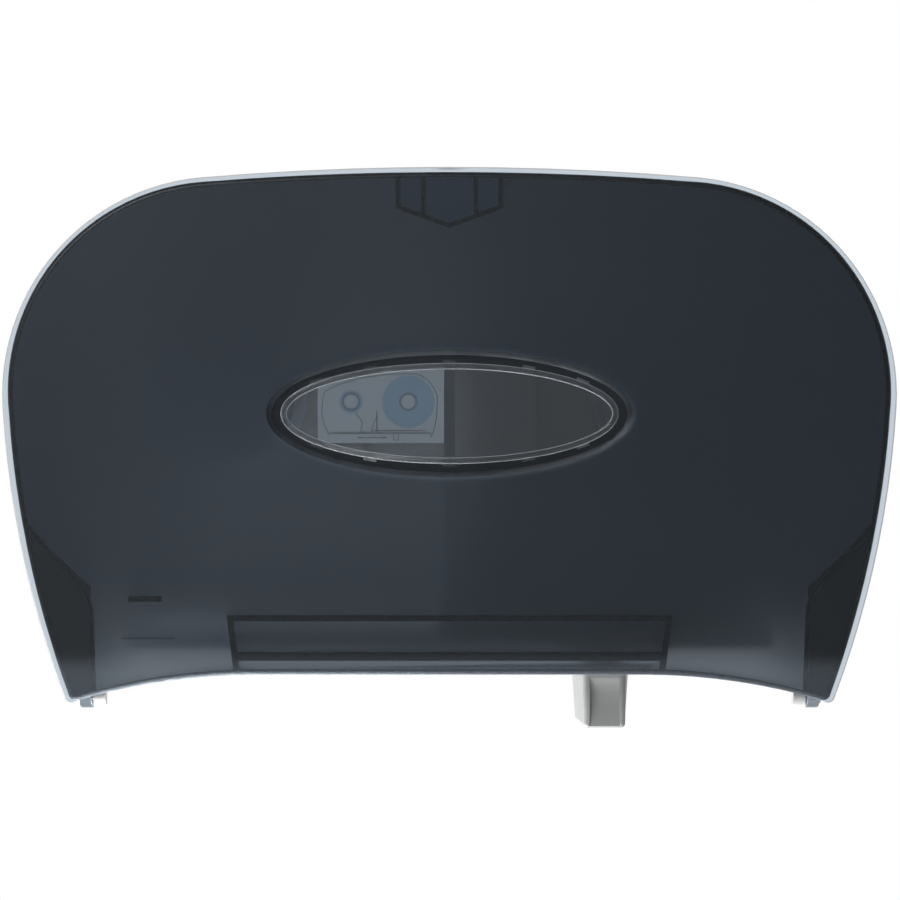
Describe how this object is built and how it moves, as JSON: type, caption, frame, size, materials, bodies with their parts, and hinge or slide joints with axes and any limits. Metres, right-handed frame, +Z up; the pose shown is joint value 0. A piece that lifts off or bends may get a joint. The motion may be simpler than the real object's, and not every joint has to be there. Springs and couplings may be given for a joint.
{
  "type": "two-roll toilet paper dispenser",
  "caption": "Wall-mounted side-by-side jumbo toilet paper dispenser: smoke drop-down cover, key lock, free-turning spindles, shutter slid by a lever.",
  "frame": {"origin": "centre of the wall-screw pattern on the wall plane, level with both spindles", "axes": "+X left to right along the width, +Y into the wall, +Z up; the front faces -Y"},
  "size_m": [0.513, 0.1476, 0.3145],
  "materials": {
    "smoke_plastic": "satin",
    "clear_plastic": "gloss",
    "light_grey_plastic": "satin",
    "hub_plastic": "satin",
    "card": "matt",
    "lock_zinc": "satin",
    "steel": "satin"
  },
  "bodies": {
    "base": {"back_plate": "light_grey_plastic", "paper_shelf": "light_grey_plastic", "paper_divider": "light_grey_plastic", "latch_keeper": "steel", "left_spindle_post": "light_grey_plastic", "left_axle_screw": "steel", "left_hinge_pin": "steel", "right_spindle_post": "light_grey_plastic", "right_axle_screw": "steel", "right_hinge_pin": "steel", "left_post_screw_1": "steel", "left_post_screw_2": "steel", "left_post_screw_3": "steel", "right_post_screw_1": "steel", "right_post_screw_2": "steel", "right_post_screw_3": "steel", "shelf_screw_1": "steel", "shelf_screw_2": "steel", "shelf_screw_3": "steel", "shelf_screw_4": "steel", "keeper_screw_1": "steel", "keeper_screw_2": "steel"},
    "cover": {"cover": "smoke_plastic", "window_lens": "clear_plastic", "instruction_card": "card"},
    "lock": {"lock_barrel": "lock_zinc", "lock_clip": "steel", "lock_cam": "steel", "cam_screw": "steel"},
    "left_hub": {"left_spindle_hub": "hub_plastic", "left_hub_cap": "hub_plastic"},
    "right_hub": {"right_spindle_hub": "hub_plastic", "right_hub_cap": "hub_plastic"},
    "shutter": {"shutter_plate": "light_grey_plastic", "shutter_lever": "light_grey_plastic", "lever_screw_1": "steel", "lever_screw_2": "steel"}
  },
  "joints": [
    {"name": "cover_hinge", "type": "hinge", "parent": "base", "child": "cover", "pos_m": [0, -0.012, -0.1725], "axis": [1, 0, 0], "range_deg": [0, 95]},
    {"name": "lock_turn", "type": "hinge", "parent": "cover", "child": "lock", "pos_m": [0, -0.06, 0.115], "axis": [0, 0, -1], "range_deg": [0, 90]},
    {"name": "left_hub_spin", "type": "hinge", "parent": "base", "child": "left_hub", "pos_m": [-0.1254, -0.067, 0], "axis": [0, -1, 0], "continuous": true},
    {"name": "right_hub_spin", "type": "hinge", "parent": "base", "child": "right_hub", "pos_m": [0.1254, -0.067, 0], "axis": [0, -1, 0], "continuous": true},
    {"name": "shutter_slide", "type": "slide", "parent": "base", "child": "shutter", "axis": [1, 0, 0], "range_m": [-0.17, 0]}
  ]
}
